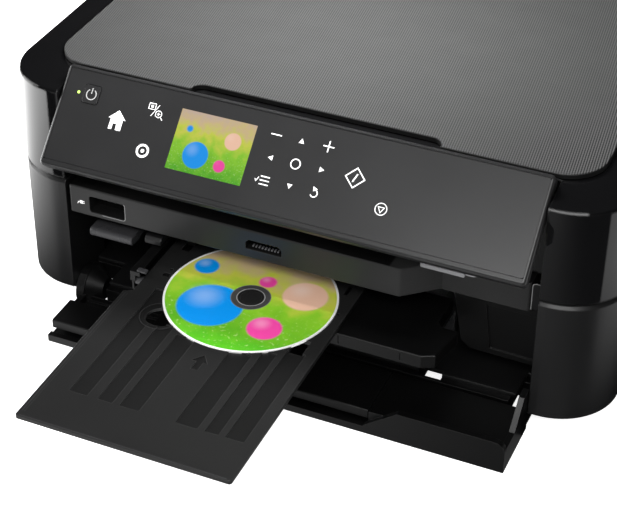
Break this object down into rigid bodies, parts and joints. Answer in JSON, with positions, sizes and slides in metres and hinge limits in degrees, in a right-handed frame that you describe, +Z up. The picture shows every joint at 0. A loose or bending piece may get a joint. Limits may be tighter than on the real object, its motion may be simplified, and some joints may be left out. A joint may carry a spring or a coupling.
{
  "type": "disc label printer",
  "caption": "Flat-bed colour printer with a document lid, tilting control panel, folded-down front door and a disc caddy sliding in a guide.",
  "frame": {"origin": "bottom centre of the bounding box, on the surface that the rubber feet stand on", "axes": "+X to the right as seen from the front, +Y to the back, +Z up"},
  "size_m": [0.446, 0.5612, 0.194],
  "materials": {
    "gloss_black": "high gloss",
    "lid_texture": "fine diagonal texture",
    "panel_satin": "satin",
    "bar_satin": "satin",
    "satin_black": "satin",
    "light_grey": "satin",
    "mid_grey": "satin",
    "screen": "display under a clear window",
    "clear_glass": "polished",
    "lamp_green": "lit",
    "disc_print": "printed face",
    "rubber": "matte",
    "steel": "plated sheet",
    "white_foam": "soft pad",
    "board_green": "circuit board",
    "belt_black": "matte",
    "brass_pins": "plated"
  },
  "bodies": {
    "base": {"lower_casing": "gloss_black", "hinge_brackets": "satin_black", "base_pan": "satin_black", "rubber_feet": "rubber", "rear_cover": "gloss_black", "card_slot_bar": "bar_satin", "usb_socket": "steel", "card_reader": "brass_pins", "waste_pad_cover": "satin_black", "chassis_frame": "steel", "carriage_rail": "steel", "platen": "satin_black", "cap_station": "mid_grey", "drive_belt": "belt_black", "exit_belt": "belt_black", "carriage_motor": "steel", "encoder_strip": "white_foam", "feed_motor": "steel", "main_board": "board_green", "power_supply": "mid_grey", "mains_inlet": "satin_black"},
    "scanner": {"scanner_housing": "gloss_black", "hinge_pins": "steel", "scanner_glass": "clear_glass", "scan_rail": "steel", "lid_hinges": "satin_black"},
    "scan_bar": {"scan_carriage": "mid_grey"},
    "lid": {"document_lid": "lid_texture", "document_pad": "white_foam"},
    "panel": {"panel_shell": "panel_satin", "panel_face": "panel_satin", "display_window": "screen", "status_led": "lamp_green", "panel_board": "board_green"},
    "power_key": {"power_button": "panel_satin"},
    "release_tab": {"release_lever": "light_grey"},
    "finger_lever": {"guide_lever": "mid_grey"},
    "guide": {"disc_guide": "satin_black", "guide_clip": "light_grey"},
    "guide_wheel": {"guide_roller": "light_grey"},
    "caddy": {"disc_caddy": "satin_black"},
    "disc_body": {"disc": "disc_print"},
    "door": {"front_door": "satin_black"},
    "stacker": {"stacker_tray": "satin_black"},
    "carriage_body": {"carriage": "satin_black", "print_head": "steel", "ink_cartridges": "mid_grey"},
    "drive_wheel": {"drive_pulley": "white_foam"},
    "idler_wheel": {"idler_pulley": "white_foam"},
    "feed": {"feed_roller": "mid_grey", "feed_pulley": "white_foam", "feed_gear": "white_foam"},
    "pinion": {"feed_pinion": "brass_pins"},
    "exit_feed": {"exit_roller": "mid_grey", "exit_pulley": "white_foam"},
    "stars": {"star_wheels": "steel"},
    "pickup": {"pickup_roller": "rubber"},
    "support": {"paper_support": "gloss_black"},
    "fence": {"edge_guide": "mid_grey"}
  },
  "joints": [
    {"name": "scanner_lift", "type": "hinge", "parent": "base", "child": "scanner", "pos_m": [0, 0.19865, 0.179], "axis": [-1, 0, 0], "range_deg": [0, 35]},
    {"name": "scan_travel", "type": "slide", "parent": "scanner", "child": "scan_bar", "axis": [1, 0, 0], "range_m": [0, 0.275]},
    {"name": "lid_hinge", "type": "hinge", "parent": "scanner", "child": "lid", "pos_m": [0, 0.19915, 0.1884], "axis": [-1, 0, 0], "range_deg": [0, 80]},
    {"name": "panel_tilt", "type": "hinge", "parent": "scanner", "child": "panel", "pos_m": [0, -0.06984, 0.1697], "axis": [1, 0, 0], "range_deg": [0, 34]},
    {"name": "power_press", "type": "slide", "parent": "panel", "child": "power_key", "axis": [0, 0.7145, -0.6997], "range_m": [0, 0.001], "stiffness_N_per_m": 400, "springref_m": -0.0005},
    {"name": "release_slide", "type": "slide", "parent": "base", "child": "release_tab", "axis": [0, 1, 0], "range_m": [0, 0.004], "stiffness_N_per_m": 150, "springref_m": -0.001},
    {"name": "lever_hinge", "type": "hinge", "parent": "base", "child": "finger_lever", "pos_m": [-0.136, -0.05735, 0.071], "axis": [1, 0, 0], "range_deg": [0, 15]},
    {"name": "guide_slide", "type": "slide", "parent": "base", "child": "guide", "axis": [0, 1, 0], "range_m": [0, 0.018]},
    {"name": "guide_wheel_spin", "type": "hinge", "parent": "guide", "child": "guide_wheel", "pos_m": [-0.1022, -0.11555, 0.0596], "axis": [1, 0, 0], "continuous": true},
    {"name": "caddy_slide", "type": "slide", "parent": "base", "child": "caddy", "axis": [0, -1, 0], "range_m": [-0.18, 0.06]},
    {"name": "disc_lift", "type": "slide", "parent": "caddy", "child": "disc_body", "axis": [0, 0, 1], "range_m": [0, 0.012]},
    {"name": "door_hinge", "type": "hinge", "parent": "base", "child": "door", "pos_m": [0, -0.07335, 0.008], "axis": [-1, 0, 0], "range_deg": [0, 28]},
    {"name": "stacker_slide", "type": "slide", "parent": "door", "child": "stacker", "axis": [0, -1, 0], "range_m": [0, 0.035]},
    {"name": "carriage_slide", "type": "slide", "parent": "base", "child": "carriage_body", "axis": [-1, 0, 0], "range_m": [0, 0.283]},
    {"name": "drive_spin", "type": "hinge", "parent": "base", "child": "drive_wheel", "pos_m": [-0.186, 0.09015, 0.092], "axis": [0, 1, 0], "continuous": true},
    {"name": "idler_spin", "type": "hinge", "parent": "base", "child": "idler_wheel", "pos_m": [0.186, 0.09015, 0.092], "axis": [0, 1, 0], "continuous": true},
    {"name": "feed_spin", "type": "hinge", "parent": "base", "child": "feed", "pos_m": [0, 0.10365, 0.0569], "axis": [1, 0, 0], "continuous": true},
    {"name": "pinion_spin", "type": "hinge", "parent": "base", "child": "pinion", "pos_m": [-0.2, 0.12365, 0.0419], "axis": [1, 0, 0], "continuous": true},
    {"name": "exit_spin", "type": "hinge", "parent": "base", "child": "exit_feed", "pos_m": [0, 0.00865, 0.0569], "axis": [1, 0, 0], "continuous": true},
    {"name": "star_spin", "type": "hinge", "parent": "base", "child": "stars", "pos_m": [0, 0.00865, 0.0748], "axis": [1, 0, 0], "continuous": true},
    {"name": "pickup_spin", "type": "hinge", "parent": "base", "child": "pickup", "pos_m": [0, 0.25265, 0.13], "axis": [1, 0, 0], "continuous": true},
    {"name": "support_hinge", "type": "hinge", "parent": "base", "child": "support", "pos_m": [0, 0.27265, 0.1833], "axis": [-1, 0, 0], "range_deg": [0, 100]},
    {"name": "fence_slide", "type": "slide", "parent": "base", "child": "fence", "axis": [-1, 0, 0], "range_m": [0, 0.06]}
  ],
  "couplings": [
    {"joint": "drive_spin", "follows": "carriage_slide", "rad_per_m": 151.51},
    {"joint": "idler_spin", "follows": "carriage_slide", "rad_per_m": 151.51},
    {"joint": "pinion_spin", "follows": "feed_spin", "ratio": -2.5714},
    {"joint": "exit_spin", "follows": "feed_spin", "ratio": 1},
    {"joint": "star_spin", "follows": "feed_spin", "ratio": -1},
    {"joint": "pickup_spin", "follows": "feed_spin", "ratio": 0.5}
  ]
}
